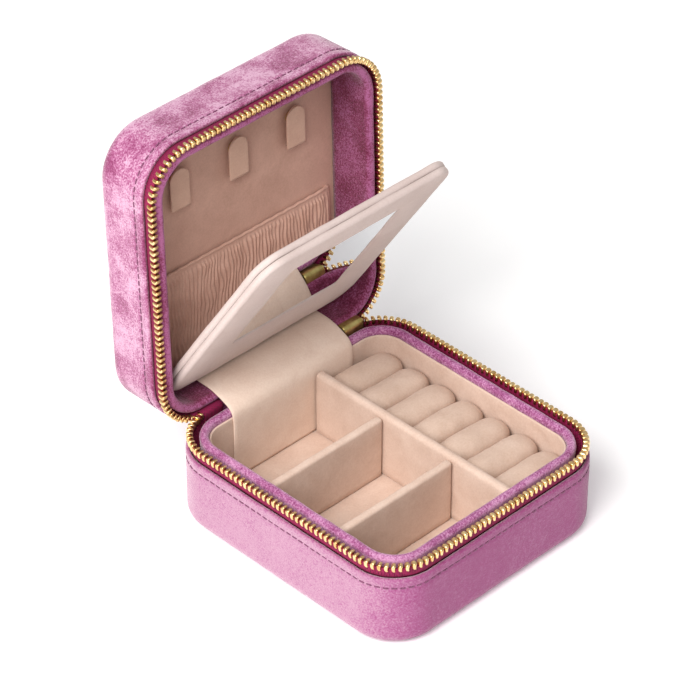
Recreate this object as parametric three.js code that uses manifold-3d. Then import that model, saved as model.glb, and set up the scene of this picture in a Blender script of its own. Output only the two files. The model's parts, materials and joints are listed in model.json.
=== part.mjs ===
// A velvet travel jewelry case, open, with a padded mirror flap hinged inside its lid.
//
// Millimetres. X runs along the hinge, -Y is the opening side, +Y the hinge side and +Z is up.
// The origin is the centre of the base's flat underside. The lid is drawn shut, straight above
// the base, in a group that is then swung open about the hinge line.

import * as THREE from "three";
import { mergeVertices } from "three/addons/utils/BufferGeometryUtils.js";
import Module from "manifold-3d";

const wasm = await Module();
wasm.setup();

// ---------------------------------------------------------------- driving dimensions

const BASE = { halfX: 50, halfY: 52.5, corner: 17 }; // outline of the base
const LID = { halfX: 50.5, halfY: 52.8, corner: 17.3 }; // the lid overhangs the base a little
const EDGE_ROUND = 5; // rounded edge between the walls and the large faces
const BASE_RIM = 27.5; // top of the base's velvet wall
const MATING_PLANE = 33; // where the two chains of the zip meet when the lid is shut
const LID_RIM = 2 * MATING_PLANE - BASE_RIM; // edge of the lid's velvet wall, lid shut
const LID_TOP = 59.5; // large face of the shut lid
const VELVET = 1.2; // velvet with its backing
const ROLL_UNDER = 70; // degrees that the velvet wall turns in round its lower edge
const BOARD = 1.8; // stiff board under the velvet
const BOARD_EDGE = 4.2; // from the outside to the edges of the large boards
const BOARD_TOP = 24; // top of the base's wall board
const LID_BOARD_LIP = 3.5; // from the lid's rim to its wall board
const GAP = 0.3; // glue line between neighbouring pieces

const HINGE_Y = 50.3; // the fabric hinge folds on this line
const HINGE_Z = 32.6;
const LID_OPEN = 91.67; // degrees the lid stands open
const FLAP_OPEN = 34.7; // degrees the flap leans out of the lid

const CHAIN = { inset: 1.4, thick: 2.2, tall: 2.65, cut: 0.5, edge: 0.4 }; // a row of zip teeth
const LID_CHAIN_INSET = 0.9;
const CHAIN_CLEARANCE = 0.15; // from a chain to the mating plane
const CHAIN_END = 63.8; // where the chain stops on the rear corner, in degrees
const TAPE = { thick: 0.6, foot: 16, sewnTop: 25, lean: 0.2, over: 0.4, sewn: 0.5 };
const LID_TAPE = { sewn: 3.1, under: 0.4, shift: 0.4 };
const STOP = { width: 1.8, base: [49, 50.2, 30.6, 32.4], lid: [50.6, 51.8, 33.8, 35.6], left: -38.6 };
const BOTTOM_STOP = { width: 2, from: 1.6, y: [50, 51.1], z: [30.6, 32.3] };

const FRAME_OUTER = 4.3; // velvet frame that stands inside the base's wall
const FRAME_INNER = 7.4;
const FRAME_TOP = 32;
const FRAME_FOOT = VELVET + GAP + BOARD + GAP; // it stands on the bottom board
const LID_FRAME_OUTER = 2.5;
const LID_FRAME_INNER = 5.4;
const LID_FRAME_FOOT = 3.8; // outer face of the lid's frame where the wall stands beside it
const LID_FRAME_STEP = [-0.6, 0.8]; // heights from the lid's rim between which it steps back

const LINING = 0.6; // suede on board
const LINING_TOP = 29.8;
const FLOOR_TOP = 4.8; // face of the suede floor
const DIVIDER_THICK = 3.5;
const DIVIDER_TOP = 29.5;
const DIVIDER_RIGHT = 12.7; // right face of the long divider
const CROSS_THICK = 3;
const CROSS_TOP = 28.6;
const CROSS_Y = { rear: 12.3, front: -19.3 };

const ROLL_COUNT = 7;
const ROLL_TOP = 26.5;
const CUSHION_TOP = 14; // foam block under the rolls

const STRIP_HALF = 27; // half width of the suede hinge strip
const STRIP_FOOT = 12; // lower edge of that strip, inside the base
const STRIP_SHELF = 3.2; // stretch of it that lies over the base's frame
const STRIP_REST = 0.2; // from the mating plane to either half of it
const LID_STRIP_SHELF = 1;
const SPINE_HALF = 25.5; // half width of the velvet spine outside
const SPINE = { baseTop: 29.9, lidLow: 35.4 };

const FLAP = { halfX: 41.5, length: 90.1, corner: 8, thick: 5, core: 1.2, coreInset: 1 };
const FLAP_AXIS = { y: 46.5, z: 46 }; // crease of the flap's strip, lid shut
const FLAP_STRIP = { length: 3.2, thick: 0.9, halfX: 26 }; // suede from that crease to the flap
const MIRROR = { halfX: 23.5, low: 23, high: 76, corner: 1.5 }; // window, from the flap's lower edge
const MIRROR_THICK = 1.2;

const PANEL_FACE = 51.6; // face of the panel inside the lid
const PANEL_TUCK = 1.2; // how far the panel reaches behind the lid's frame
const TAB = { x: [-24.7, 0.8, 26.3], halfX: 4.1, front: -32.5, rear: -17.6, lift: 1.8, thick: 1 };
const TAB_LAND = 3; // stretch of a tab that is sewn flat to the panel
const TAB_FOLD = 0.4; // depth by which a tab's sewn foot runs into its tongue
const SNAP = { radius: 2.6, flange: 0.35, knobRadius: 1.05, knobTop: 1, bore: 1.35, thick: 0.5, sunk: 0.2 };
const SNAP_FROM_END = 4.6;
const POCKET = { halfX: 42.2, front: 6.4, rear: 44, corner: 6, lift: 1.5, thick: 1, hem: 2, fold: 0.5 };
const POCKET_ELASTIC = { width: 5, thick: 0.7, fromHem: 0.6, short: 3 };

const SLIDER = { low: 28, high: 38, radius: 2, foot: 30.6, halfFoot: 1.75 };
const SLIDER_ROOM = 1; // how far the lid's frame keeps from the slider's ends
const CHEEK = { radius: 1.1, thick: 1.2 }; // the two cheeks that hold the pull's bar
const PULL = {
  x: 33, // centre of its bar, which lies along the hinge
  y: 54,
  z: 30.9,
  bar: 0.6,
  eye: 1.5,
  bore: 0.95,
  halfEye: 1.7,
  halfX: 2.3,
  drop: 17.2,
  thick: 1.2,
  round: 1.6,
  neck: 2.5,
  neckInset: 0.1,
};

const CORNER_STEPS = 8; // straight pieces that stand for a quarter turn
const EDGE_STEPS = 5; // the same for the walls' rounded edges
const FRAME_STEPS = 6; // for the half-round tops of the frames
const FINE_STEPS = 4; // for small rounded corners
const SNAP_SIDES = 14;
const BAR_SIDES = 12;

// ---------------------------------------------------------------- finishes

const FINISH = {
  velvet: { color: 0xb0669a, roughness: 0.95, metalness: 0 },
  rimVelvet: { color: 0xa85f92, roughness: 0.95, metalness: 0 },
  suede: { color: 0xd8bfae, roughness: 0.98, metalness: 0 },
  board: { color: 0xb59b7a, roughness: 0.9, metalness: 0 },
  foam: { color: 0xe8dcc8, roughness: 1, metalness: 0 },
  tape: { color: 0x8e1746, roughness: 0.85, metalness: 0 },
  brass: { color: 0xd8b56a, roughness: 0.28, metalness: 1 },
  agedBrass: { color: 0xa8945c, roughness: 0.35, metalness: 1 },
  elastic: { color: 0xe6d8cc, roughness: 0.95, metalness: 0 },
  mirror: { color: 0xf4f6f8, roughness: 0.02, metalness: 1 },
};

// ---------------------------------------------------------------- making closed bodies

const turn = (degrees) => (degrees * Math.PI) / 180;

// A manifold-3d solid of a closed three.js geometry.
function solid(geometry) {
  const bare = geometry.index ? geometry.toNonIndexed() : geometry.clone();
  bare.deleteAttribute("normal");
  bare.deleteAttribute("uv");
  const merged = mergeVertices(bare, 1e-4);
  return new wasm.Manifold(
    new wasm.Mesh({
      numProp: 3,
      vertProperties: merged.attributes.position.array,
      triVerts: new Uint32Array(merged.index.array),
    }),
  );
}

// A three.js geometry of a manifold-3d solid.
function geometryOf(body) {
  const mesh = body.getMesh();
  const positions = new Float32Array(mesh.numVert * 3);
  for (let i = 0; i < mesh.numVert; i++) {
    const start = i * mesh.numProp;
    positions.set(mesh.vertProperties.subarray(start, start + 3), i * 3);
  }
  const geometry = new THREE.BufferGeometry();
  geometry.setAttribute("position", new THREE.BufferAttribute(positions, 3));
  geometry.setIndex(new THREE.BufferAttribute(new Uint32Array(mesh.triVerts), 1));
  return geometry;
}

function cut(geometry, ...tools) {
  return geometryOf(tools.reduce((body, tool) => body.subtract(solid(tool)), solid(geometry)));
}

function join(geometry, ...more) {
  return geometryOf(more.reduce((body, other) => body.add(solid(other)), solid(geometry)));
}

function box(x0, x1, y0, y1, z0, z1) {
  const geometry = new THREE.BoxGeometry(x1 - x0, y1 - y0, z1 - z0);
  return geometry.translate((x0 + x1) / 2, (y0 + y1) / 2, (z0 + z1) / 2);
}

// Points along the outline between two directions, counter-clockwise from +X. Each keeps the
// centre of its corner, so that an inset only shortens the corner's radius.
function stations(outline, from, to) {
  const points = [];
  for (let quarter = Math.floor(from / 90); quarter * 90 < to; quarter++) {
    const low = Math.max(from, quarter * 90);
    const high = Math.min(to, quarter * 90 + 90);
    const middle = turn(quarter * 90 + 45);
    const steps = Math.max(1, Math.round(((high - low) / 90) * CORNER_STEPS));
    for (let i = 0; i <= steps; i++) {
      const angle = turn(low + ((high - low) * i) / steps);
      points.push({
        x: Math.sign(Math.cos(middle)) * (outline.halfX - outline.corner),
        y: Math.sign(Math.sin(middle)) * (outline.halfY - outline.corner),
        radius: outline.corner,
        angle,
      });
    }
  }
  return points;
}

// Sweeps a closed profile of [inset, z] corners along the outline, all the way round or, with
// from and to, as an open stretch with flat ends.
function sweep(profile, outline, from, to) {
  const ring = from === undefined;
  const path = ring ? stations(outline, 0, 360) : stations(outline, from, to);
  const contour = profile.map(([inset, z]) => new THREE.Vector2(inset, z));
  if (THREE.ShapeUtils.area(contour) < 0) contour.reverse();
  const positions = [];
  for (const station of path) {
    for (const corner of contour) {
      const reach = station.radius - corner.x;
      const x = station.x + reach * Math.cos(station.angle);
      const y = station.y + reach * Math.sin(station.angle);
      positions.push(x, y, corner.y);
    }
  }
  const size = contour.length;
  const faces = [];
  const spans = ring ? path.length : path.length - 1;
  for (let i = 0; i < spans; i++) {
    const here = i * size;
    const there = ((i + 1) % path.length) * size;
    for (let j = 0; j < size; j++) {
      const next = (j + 1) % size;
      faces.push(here + j, here + next, there + next, here + j, there + next, there + j);
    }
  }
  if (!ring) {
    const last = (path.length - 1) * size;
    for (const [a, b, c] of THREE.ShapeUtils.triangulateShape(contour, [])) {
      faces.push(c, b, a, last + a, last + b, last + c);
    }
  }
  const geometry = new THREE.BufferGeometry();
  geometry.setAttribute("position", new THREE.Float32BufferAttribute(positions, 3));
  geometry.setIndex(faces);
  return geometry;
}

// Corners of a quarter turn of a profile about (inset, z), from one direction to another.
function arc(inset, z, radius, from, to, steps) {
  return Array.from({ length: steps + 1 }, (_, i) => {
    const angle = turn(from + ((to - from) * i) / steps);
    return [inset + radius * Math.cos(angle), z + radius * Math.sin(angle)];
  });
}

function roundedRectangle(x0, x1, y0, y1, radius) {
  const shape = new THREE.Shape();
  shape.absarc(x1 - radius, y0 + radius, radius, -Math.PI / 2, 0);
  shape.absarc(x1 - radius, y1 - radius, radius, 0, Math.PI / 2);
  shape.absarc(x0 + radius, y1 - radius, radius, Math.PI / 2, Math.PI);
  shape.absarc(x0 + radius, y0 + radius, radius, Math.PI, 1.5 * Math.PI);
  return shape;
}

function insetRectangle(outline, inset) {
  const halfX = outline.halfX - inset;
  const halfY = outline.halfY - inset;
  return roundedRectangle(-halfX, halfX, -halfY, halfY, outline.corner - inset);
}

// Flat plate of a shape drawn in X and Y.
function plate(shape, z0, z1, curveSegments = CORNER_STEPS) {
  const depth = z1 - z0;
  const geometry = new THREE.ExtrudeGeometry(shape, { depth, bevelEnabled: false, curveSegments });
  return geometry.translate(0, 0, z0);
}

// Bar along X of a shape drawn in Y and Z.
function barAlongX(shape, x0, x1, curveSegments = CORNER_STEPS) {
  const depth = x1 - x0;
  const geometry = new THREE.ExtrudeGeometry(shape, { depth, bevelEnabled: false, curveSegments });
  const toX = new THREE.Matrix4().set(0, 0, 1, x0, 1, 0, 0, 0, 0, 1, 0, 0, 0, 0, 0, 1);
  return geometry.applyMatrix4(toX);
}

// Bar along Y of a shape drawn in X and Z.
function barAlongY(shape, y0, y1, curveSegments = CORNER_STEPS) {
  const depth = y1 - y0;
  const geometry = new THREE.ExtrudeGeometry(shape, { depth, bevelEnabled: false, curveSegments });
  return geometry.rotateX(Math.PI / 2).translate(0, y1, 0);
}

// A wall with a half-round top, drawn across its thickness.
function roundTopped(low, high, z0, z1) {
  const radius = (high - low) / 2;
  const shape = new THREE.Shape();
  shape.moveTo(low, z0);
  shape.lineTo(high, z0);
  shape.absarc(low + radius, z1 - radius, radius, 0, Math.PI);
  return shape;
}

// ---------------------------------------------------------------- the assembly

const jewelryCase = new THREE.Group();
const lid = new THREE.Group();
const flap = new THREE.Group();
jewelryCase.add(lid);
lid.add(flap);

function addPart(parent, name, geometry, finish) {
  const mesh = new THREE.Mesh(geometry, new THREE.MeshStandardMaterial(FINISH[finish]));
  mesh.name = name;
  parent.add(mesh);
}

// Velvet wall: a thin skin that rolls in round the edge at its large face. Its edge centre
// lies at height centre, and side is 1 where that edge is the upper one and -1 where it is
// the lower one.
function velvetWall(rim, centre, side) {
  const end = 180 - side * ROLL_UNDER;
  const outer = arc(EDGE_ROUND, centre, EDGE_ROUND, 180, end, EDGE_STEPS);
  const inner = arc(EDGE_ROUND, centre, EDGE_ROUND - VELVET, end, 180, EDGE_STEPS);
  return [[0, rim], ...outer, ...inner, [VELVET, rim]];
}

// Zip tape: sewn inside the wall's top, it leans out over the wall's edge and up to the chain.
function baseTapeProfile() {
  const out = CHAIN.inset - TAPE.thick / 2;
  const top = MATING_PLANE - CHAIN_CLEARANCE - CHAIN.tall - GAP;
  const sewn = wallInside + GAP;
  return [
    [sewn, TAPE.foot],
    [sewn, TAPE.sewnTop],
    [out + TAPE.lean, BASE_RIM + TAPE.over],
    [out, top],
    [out + TAPE.thick, top],
    [out + TAPE.thick + TAPE.lean, BASE_RIM + TAPE.over],
    [sewn + TAPE.sewn, TAPE.sewnTop + TAPE.over],
    [sewn + TAPE.sewn, TAPE.foot],
  ];
}

// The lid's tape is sewn between the wall's edge and the lid's frame.
function lidTapeProfile() {
  const out = LID_CHAIN_INSET - TAPE.thick / 2;
  const low = MATING_PLANE + CHAIN_CLEARANCE + CHAIN.tall + GAP;
  const under = LID_RIM - LID_TAPE.under;
  const sewn = VELVET + GAP + TAPE.thick;
  return [
    [out, low],
    [out + TAPE.thick, low],
    [sewn + TAPE.lean, under],
    [sewn + LID_TAPE.shift + TAPE.lean, LID_RIM + LID_TAPE.sewn],
    [sewn, LID_RIM + LID_TAPE.sewn],
    [VELVET + TAPE.lean, under],
  ];
}

function chainProfile(inset) {
  const top = MATING_PLANE - CHAIN_CLEARANCE;
  const low = top - CHAIN.tall;
  const outer = inset - CHAIN.thick / 2;
  const inner = inset + CHAIN.thick / 2;
  return [
    [outer, low + CHAIN.cut],
    [outer + CHAIN.cut, low],
    [inner - CHAIN.cut, low],
    [inner, low + CHAIN.cut],
    [inner, top - CHAIN.edge],
    [inner - CHAIN.edge, top],
    [outer + CHAIN.edge, top],
    [outer, top - CHAIN.edge],
  ];
}

// The chain and its tape run from one rear corner round the front to the other.
const CHAIN_FROM = 180 - CHAIN_END;
const CHAIN_TO = 360 + CHAIN_END;

// ---- base

const wallInside = VELVET + GAP + BOARD;

const baseWall = velvetWall(BASE_RIM, EDGE_ROUND, -1);
addPart(jewelryCase, "base_velvet_wall", sweep(baseWall, BASE), "velvet");

const coverInset = EDGE_ROUND - (EDGE_ROUND - VELVET) * Math.cos(turn(ROLL_UNDER)) + GAP;
addPart(jewelryCase, "base_bottom_cover", plate(insetRectangle(BASE, coverInset), 0, VELVET), "velvet");
addPart(
  jewelryCase,
  "base_bottom_board",
  plate(insetRectangle(BASE, BOARD_EDGE), VELVET + GAP, VELVET + GAP + BOARD),
  "board",
);

const wallBoard = [
  [VELVET + GAP, BOARD_EDGE],
  [wallInside, BOARD_EDGE],
  [wallInside, BOARD_TOP],
  [VELVET + GAP, BOARD_TOP],
];
addPart(jewelryCase, "base_wall_board", sweep(wallBoard, BASE), "board");

// Velvet-covered frame with a round top. The lid shuts down on it.
const frameHalf = (FRAME_INNER - FRAME_OUTER) / 2;
const frameProfile = [
  [FRAME_OUTER, FRAME_FOOT],
  [FRAME_INNER, FRAME_FOOT],
  ...arc(FRAME_OUTER + frameHalf, FRAME_TOP - frameHalf, frameHalf, 0, 180, FRAME_STEPS),
];
addPart(jewelryCase, "base_inner_frame", sweep(frameProfile, BASE), "rimVelvet");

const liningInset = FRAME_INNER + GAP;
const liningInside = liningInset + LINING;
const wallLining = [
  [liningInset, FLOOR_TOP + GAP],
  [liningInside, FLOOR_TOP + GAP],
  [liningInside, LINING_TOP],
  [liningInset, LINING_TOP],
];
addPart(jewelryCase, "base_wall_lining", sweep(wallLining, BASE), "suede");
const floorOutline = insetRectangle(BASE, liningInset);
addPart(jewelryCase, "base_floor_lining", plate(floorOutline, FRAME_FOOT, FLOOR_TOP), "suede");

addPart(
  jewelryCase,
  "base_zip_tape",
  sweep(baseTapeProfile(), BASE, CHAIN_FROM, CHAIN_TO),
  "tape",
);
addPart(
  jewelryCase,
  "base_zip_teeth",
  sweep(chainProfile(CHAIN.inset), BASE, CHAIN_FROM, CHAIN_TO),
  "brass",
);

// ---- dividers

const roomX = BASE.halfX - liningInside - GAP; // half width of the room inside the lining
const roomY = BASE.halfY - liningInside - GAP;
const stripInside = roomY - LINING - GAP; // the hinge strip hangs in front of the rear lining
const dividerLeft = DIVIDER_RIGHT - DIVIDER_THICK;
const floorZ = FLOOR_TOP + GAP;

const bayRear = stripInside - GAP;
const longShape = roundTopped(dividerLeft, DIVIDER_RIGHT, floorZ, DIVIDER_TOP);
addPart(jewelryCase, "long_divider", barAlongY(longShape, -roomY, bayRear), "suede");
for (const [place, y] of Object.entries(CROSS_Y)) {
  const shape = roundTopped(y - CROSS_THICK / 2, y + CROSS_THICK / 2, floorZ, CROSS_TOP);
  const divider = barAlongX(shape, -roomX, dividerLeft - GAP);
  addPart(jewelryCase, `cross_divider_${place}`, divider, "suede");
}

// ---- ring cushion: a foam block that fills the right bay, with rolls on top

const bayLow = DIVIDER_RIGHT + GAP;
const bayCorner = BASE.corner - liningInside - GAP;

// The bay's outline has the case's round corners on its right-hand side.
function bayShape(y0, y1) {
  const shape = new THREE.Shape();
  shape.moveTo(bayLow, y0);
  shape.lineTo(roomX - bayCorner, y0);
  shape.absarc(roomX - bayCorner, y0 + bayCorner, bayCorner, -Math.PI / 2, 0);
  shape.absarc(roomX - bayCorner, y1 - bayCorner, bayCorner, 0, Math.PI / 2);
  shape.lineTo(bayLow, y1);
  return shape;
}
addPart(jewelryCase, "ring_cushion", plate(bayShape(-roomY, bayRear), floorZ, CUSHION_TOP), "foam");

const rollPitch = (roomY + bayRear) / ROLL_COUNT;
const bayPrism = solid(plate(bayShape(-roomY, bayRear), CUSHION_TOP, ROLL_TOP + 1));
for (let i = 0; i < ROLL_COUNT; i++) {
  const low = bayRear - (i + 1) * rollPitch + GAP / 2;
  const high = low + rollPitch - GAP;
  const shape = roundTopped(low, high, CUSHION_TOP + GAP, ROLL_TOP);
  const roll = solid(barAlongX(shape, bayLow, roomX)).intersect(bayPrism);
  addPart(jewelryCase, `ring_roll_${i + 1}`, geometryOf(roll), "suede");
}

// ---- hinge: suede strip inside and velvet spine outside, each in a base half and a lid half

const stripTop = MATING_PLANE - STRIP_REST;
const stripShape = new THREE.Shape();
stripShape.moveTo(roomY - LINING, STRIP_FOOT);
stripShape.lineTo(roomY, STRIP_FOOT);
stripShape.lineTo(roomY, stripTop - LINING);
stripShape.lineTo(roomY + STRIP_SHELF, stripTop - LINING);
stripShape.lineTo(roomY + STRIP_SHELF, stripTop);
stripShape.lineTo(roomY - LINING, stripTop);
addPart(jewelryCase, "hinge_strip_base", barAlongX(stripShape, -STRIP_HALF, STRIP_HALF), "suede");

const spinePiece = (low, top) =>
  box(-SPINE_HALF, SPINE_HALF, BASE.halfY - VELVET, BASE.halfY, low, top);
addPart(jewelryCase, "spine_base", spinePiece(BASE_RIM + GAP, SPINE.baseTop), "velvet");

// ---- zip slider, parked at the end of the zip beside the hinge strip

const sliderBody = new THREE.Shape();
sliderBody.absarc(HINGE_Y, HINGE_Z, SLIDER.radius, turn(-20), turn(180));
sliderBody.lineTo(HINGE_Y - SLIDER.halfFoot, SLIDER.foot);
sliderBody.lineTo(HINGE_Y + SLIDER.halfFoot, SLIDER.foot);
const cheek = new THREE.Shape();
cheek.absarc(PULL.y, PULL.z, CHEEK.radius, turn(-90), turn(90));
cheek.lineTo(HINGE_Y, PULL.z + CHEEK.radius);
cheek.lineTo(HINGE_Y, PULL.z - CHEEK.radius);
const cheekLow = PULL.x - PULL.halfEye - GAP;
const cheekHigh = PULL.x + PULL.halfEye + GAP;
const barLength = cheekHigh - cheekLow + CHEEK.thick;
const bar = new THREE.CylinderGeometry(PULL.bar, PULL.bar, barLength, BAR_SIDES);
bar.rotateZ(Math.PI / 2).translate(PULL.x, PULL.y, PULL.z);
addPart(
  jewelryCase,
  "zip_slider",
  join(
    barAlongX(sliderBody, SLIDER.low, SLIDER.high),
    barAlongX(cheek, cheekLow - CHEEK.thick, cheekLow),
    barAlongX(cheek, cheekHigh, cheekHigh + CHEEK.thick),
    bar,
  ),
  "agedBrass",
);

// Pull: an eye round the bar, and a flat tongue that hangs from it.
const eye = new THREE.Shape();
eye.absarc(PULL.y, PULL.z, PULL.eye, 0, 2 * Math.PI);
const eyeBore = new THREE.Path();
eyeBore.absarc(PULL.y, PULL.z, PULL.bore, 0, 2 * Math.PI, true);
eye.holes.push(eyeBore);
const pullRear = PULL.y + PULL.thick / 2;
const pullFront = PULL.y - PULL.thick / 2;
const neckTop = PULL.z - (PULL.eye + PULL.bore) / 2;
const tongueTop = neckTop - PULL.thick;
const tongue = roundedRectangle(
  PULL.x - PULL.halfX,
  PULL.x + PULL.halfX,
  PULL.z - PULL.drop,
  tongueTop,
  PULL.round,
);
const neckHalf = PULL.halfEye - PULL.neckInset;
const neck = box(
  PULL.x - neckHalf,
  PULL.x + neckHalf,
  pullFront,
  pullRear,
  neckTop - PULL.neck,
  neckTop,
);
addPart(
  jewelryCase,
  "zip_pull",
  join(
    barAlongX(eye, PULL.x - PULL.halfEye, PULL.x + PULL.halfEye),
    barAlongY(tongue, pullFront, pullRear, FINE_STEPS),
    neck,
  ),
  "agedBrass",
);

// Metal stops: one on each tape at the far end, and one that joins the tapes beside the slider.
const stopRight = SLIDER.low - BOTTOM_STOP.from;
const bottomStop = box(stopRight - BOTTOM_STOP.width, stopRight, ...BOTTOM_STOP.y, ...BOTTOM_STOP.z);
addPart(jewelryCase, "zip_bottom_stop", bottomStop, "brass");
const topStop = (place) => box(STOP.left, STOP.left + STOP.width, ...place);
addPart(jewelryCase, "zip_top_stop_base", topStop(STOP.base), "brass");

// ---- lid, drawn shut

const lidWall = velvetWall(LID_RIM, LID_TOP - EDGE_ROUND, 1);
addPart(lid, "lid_velvet_wall", sweep(lidWall, LID), "velvet");

const topCoverOutline = insetRectangle(LID, coverInset);
addPart(lid, "lid_top_cover", plate(topCoverOutline, LID_TOP - VELVET, LID_TOP), "velvet");
const topBoardLow = LID_TOP - VELVET - GAP - BOARD;
addPart(
  lid,
  "lid_top_board",
  plate(insetRectangle(LID, BOARD_EDGE), topBoardLow, topBoardLow + BOARD),
  "board",
);

const lidBoard = [
  [VELVET + GAP, LID_RIM + LID_BOARD_LIP],
  [wallInside, LID_RIM + LID_BOARD_LIP],
  [wallInside, LID_TOP - BOARD_EDGE],
  [VELVET + GAP, LID_TOP - BOARD_EDGE],
];
addPart(lid, "lid_wall_board", sweep(lidBoard, LID), "board");

// The frame is thicker in front of the wall's edge, where it is all that shows.
const lidFrameLow = 2 * MATING_PLANE - FRAME_TOP;
const lidFrameHalf = (LID_FRAME_INNER - LID_FRAME_OUTER) / 2;
const lidFrameTop = PANEL_FACE - GAP;
const lidFrame = [
  ...arc(
    LID_FRAME_OUTER + lidFrameHalf,
    lidFrameLow + lidFrameHalf,
    lidFrameHalf,
    180,
    360,
    FRAME_STEPS,
  ),
  [LID_FRAME_INNER, lidFrameTop],
  [LID_FRAME_FOOT, lidFrameTop],
  [LID_FRAME_FOOT, LID_RIM + LID_FRAME_STEP[1]],
  [LID_FRAME_OUTER, LID_RIM + LID_FRAME_STEP[0]],
];
// Its outer side is cut back at the zip slider, which lies on the hinge line.
const sliderRoom = box(
  SLIDER.low - SLIDER_ROOM,
  SLIDER.high + SLIDER_ROOM,
  HINGE_Y - SLIDER.radius - SLIDER_ROOM / 2,
  LID.halfY,
  MATING_PLANE,
  LID_RIM + LID_FRAME_STEP[1] + SLIDER_ROOM / 2,
);
addPart(lid, "lid_inner_frame", cut(sweep(lidFrame, LID), sliderRoom), "rimVelvet");

addPart(lid, "lid_zip_tape", sweep(lidTapeProfile(), LID, CHAIN_FROM, CHAIN_TO), "tape");
const mirrored = ([inset, z]) => [inset, 2 * MATING_PLANE - z];
const lidChain = chainProfile(LID_CHAIN_INSET).map(mirrored);
addPart(lid, "lid_zip_teeth", sweep(lidChain, LID, CHAIN_FROM, CHAIN_TO), "brass");

const panelOutline = insetRectangle(LID, LID_FRAME_INNER - PANEL_TUCK);
addPart(lid, "lid_panel", plate(panelOutline, PANEL_FACE, topBoardLow - GAP), "suede");

const lidStripY = LID.halfY - LID_FRAME_INNER - GAP; // strip's outer face on the lid's lower wall
const lidStripTop = FLAP_AXIS.z - FLAP_STRIP.thick / 2 - GAP;
const lidStripShape = new THREE.Shape();
const lidStripLow = MATING_PLANE + STRIP_REST;
lidStripShape.moveTo(lidStripY - LINING, lidStripLow);
lidStripShape.lineTo(lidStripY + LID_STRIP_SHELF, lidStripLow);
lidStripShape.lineTo(lidStripY + LID_STRIP_SHELF, lidStripLow + LINING);
lidStripShape.lineTo(lidStripY, lidStripLow + LINING);
lidStripShape.lineTo(lidStripY, lidStripTop);
lidStripShape.lineTo(lidStripY - LINING, lidStripTop);
addPart(lid, "hinge_strip_lid", barAlongX(lidStripShape, -STRIP_HALF, STRIP_HALF), "suede");

addPart(lid, "spine_lid", spinePiece(SPINE.lidLow, LID_RIM - GAP), "velvet");
addPart(lid, "zip_top_stop_lid", topStop(STOP.lid), "brass");

// ---- lid's pocket and necklace tabs

const pocketFace = PANEL_FACE - POCKET.lift;
const { halfX: pocketHalf, front: pocketFront, rear: pocketRear, corner: pocketCorner } = POCKET;
const pocketShape = roundedRectangle(-pocketHalf, pocketHalf, pocketFront, pocketRear, pocketCorner);
const pocketSheet = plate(pocketShape, pocketFace - POCKET.thick, pocketFace, FINE_STEPS);
const hem = (x0, x1, y0, y1) => box(x0, x1, y0, y1, pocketFace - POCKET.fold, PANEL_FACE - GAP);
const hemFront = pocketFront + pocketCorner;
const hemRear = pocketRear - pocketCorner;
const hemEnd = pocketHalf - pocketCorner;
const pocketHems = [
  hem(-pocketHalf, -pocketHalf + POCKET.hem, hemFront, hemRear),
  hem(pocketHalf - POCKET.hem, pocketHalf, hemFront, hemRear),
  hem(-hemEnd, hemEnd, pocketRear - POCKET.hem, pocketRear),
];
addPart(lid, "lid_pocket", join(pocketSheet, ...pocketHems), "suede");
const elasticHalf = pocketHalf - POCKET_ELASTIC.short;
const elasticFront = pocketFront + POCKET_ELASTIC.fromHem;
addPart(
  lid,
  "pocket_elastic",
  box(
    -elasticHalf,
    elasticHalf,
    elasticFront,
    elasticFront + POCKET_ELASTIC.width,
    pocketFace + GAP,
    pocketFace + GAP + POCKET_ELASTIC.thick,
  ),
  "elastic",
);

const tabFace = PANEL_FACE - TAB.lift; // side of a tab that looks at the panel
const snapY = TAB.front + SNAP_FROM_END;
TAB.x.forEach((x, i) => {
  const number = i + 1;
  const tongueShape = new THREE.Shape();
  tongueShape.moveTo(x - TAB.halfX, TAB.rear);
  tongueShape.lineTo(x - TAB.halfX, TAB.front + TAB.halfX);
  tongueShape.absarc(x, TAB.front + TAB.halfX, TAB.halfX, Math.PI, 2 * Math.PI);
  tongueShape.lineTo(x + TAB.halfX, TAB.rear);
  const foot = box(
    x - TAB.halfX,
    x + TAB.halfX,
    TAB.rear - TAB_LAND,
    TAB.rear,
    tabFace - TAB_FOLD,
    PANEL_FACE - GAP,
  );
  const tabTongue = plate(tongueShape, tabFace - TAB.thick, tabFace, FRAME_STEPS);
  addPart(lid, `necklace_tab_${number}`, join(tabTongue, foot), "suede");

  // Stud on the panel and socket under the tab, turned on one axis.
  const stud = new THREE.LatheGeometry(
    [
      new THREE.Vector2(0, 0),
      new THREE.Vector2(SNAP.radius, 0),
      new THREE.Vector2(SNAP.radius, SNAP.flange),
      new THREE.Vector2(SNAP.knobRadius, SNAP.flange),
      new THREE.Vector2(SNAP.knobRadius, SNAP.knobTop),
      new THREE.Vector2(0, SNAP.knobTop),
    ],
    SNAP_SIDES,
  );
  stud.rotateX(-Math.PI / 2).translate(x, snapY, PANEL_FACE - SNAP.sunk);
  addPart(lid, `snap_stud_${number}`, stud, "brass");
  const socket = new THREE.LatheGeometry(
    [
      new THREE.Vector2(SNAP.bore, 0),
      new THREE.Vector2(SNAP.radius, 0),
      new THREE.Vector2(SNAP.radius, SNAP.thick),
      new THREE.Vector2(SNAP.bore, SNAP.thick),
      new THREE.Vector2(SNAP.bore, 0),
    ],
    SNAP_SIDES,
  );
  socket.rotateX(-Math.PI / 2).translate(x, snapY, tabFace + GAP + SNAP.thick);
  addPart(lid, `snap_socket_${number}`, socket, "brass");
});

// ---- mirror flap, drawn in its own group: its strip's crease is the group's origin, Y runs
// from there to the flap's free edge with the sign turned, and -Z is the mirror's side.

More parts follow.
